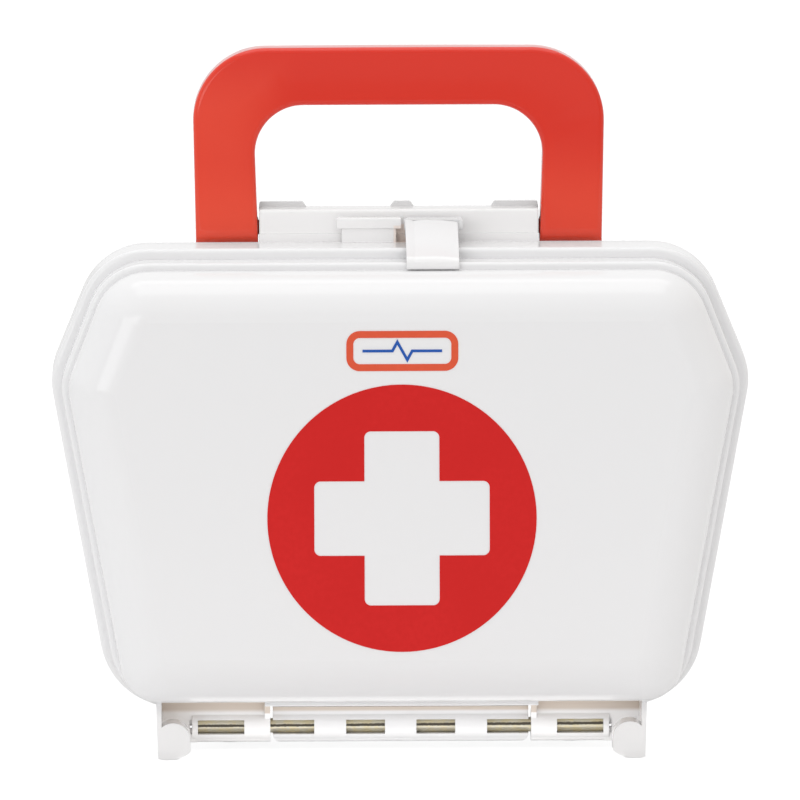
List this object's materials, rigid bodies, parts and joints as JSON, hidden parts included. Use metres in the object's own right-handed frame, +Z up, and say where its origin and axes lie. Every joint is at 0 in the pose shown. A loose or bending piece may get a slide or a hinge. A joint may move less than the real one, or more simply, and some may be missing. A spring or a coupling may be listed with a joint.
{
  "type": "toy doctor case",
  "caption": "Toy doctor case of two hinged half shells with a stepped rim, a folding carry handle, a snap latch and a printed cross.",
  "frame": {"origin": "on the floor under the middle of the case, on the plane where the shells part", "axes": "+Z up, -Y towards the front of the lid, X across the case along the hinge rod"},
  "size_m": [0.2816, 0.1142, 0.2853],
  "materials": {
    "white_shell": "moulded, soft gloss",
    "white_bracket": "moulded, soft gloss",
    "white_latch": "moulded, soft gloss",
    "red_handle": "moulded, gloss",
    "red_print": "printed ink",
    "orange_print": "printed ink",
    "blue_print": "printed ink",
    "rod_steel": "zinc plated, drawn",
    "screw_steel": "zinc plated"
  },
  "bodies": {
    "rear": {"rear_shell": "white_shell", "handle_bracket": "white_bracket", "bracket_screws": "screw_steel"},
    "front": {"front_shell": "white_shell", "hinge_rod": "rod_steel", "emblem_disc": "red_print", "badge_border": "orange_print", "badge_pulse": "blue_print"},
    "latch": {"latch_tongue": "white_latch"},
    "handle": {"handle": "red_handle"}
  },
  "joints": [
    {"name": "lid_hinge", "type": "hinge", "parent": "rear", "child": "front", "pos_m": [0, 0, 0.0093], "axis": [1, 0, 0], "range_deg": [0, 180]},
    {"name": "handle_fold", "type": "hinge", "parent": "rear", "child": "handle", "pos_m": [0, 0.0142, 0.2117], "axis": [1, 0, 0], "range_deg": [-90, 60]},
    {"name": "latch_flex", "type": "hinge", "parent": "front", "child": "latch", "pos_m": [0.013, -0.0386, 0.2009], "axis": [1, 0, 0], "range_deg": [0, 6], "stiffness_Nm_per_rad": 1.9}
  ]
}
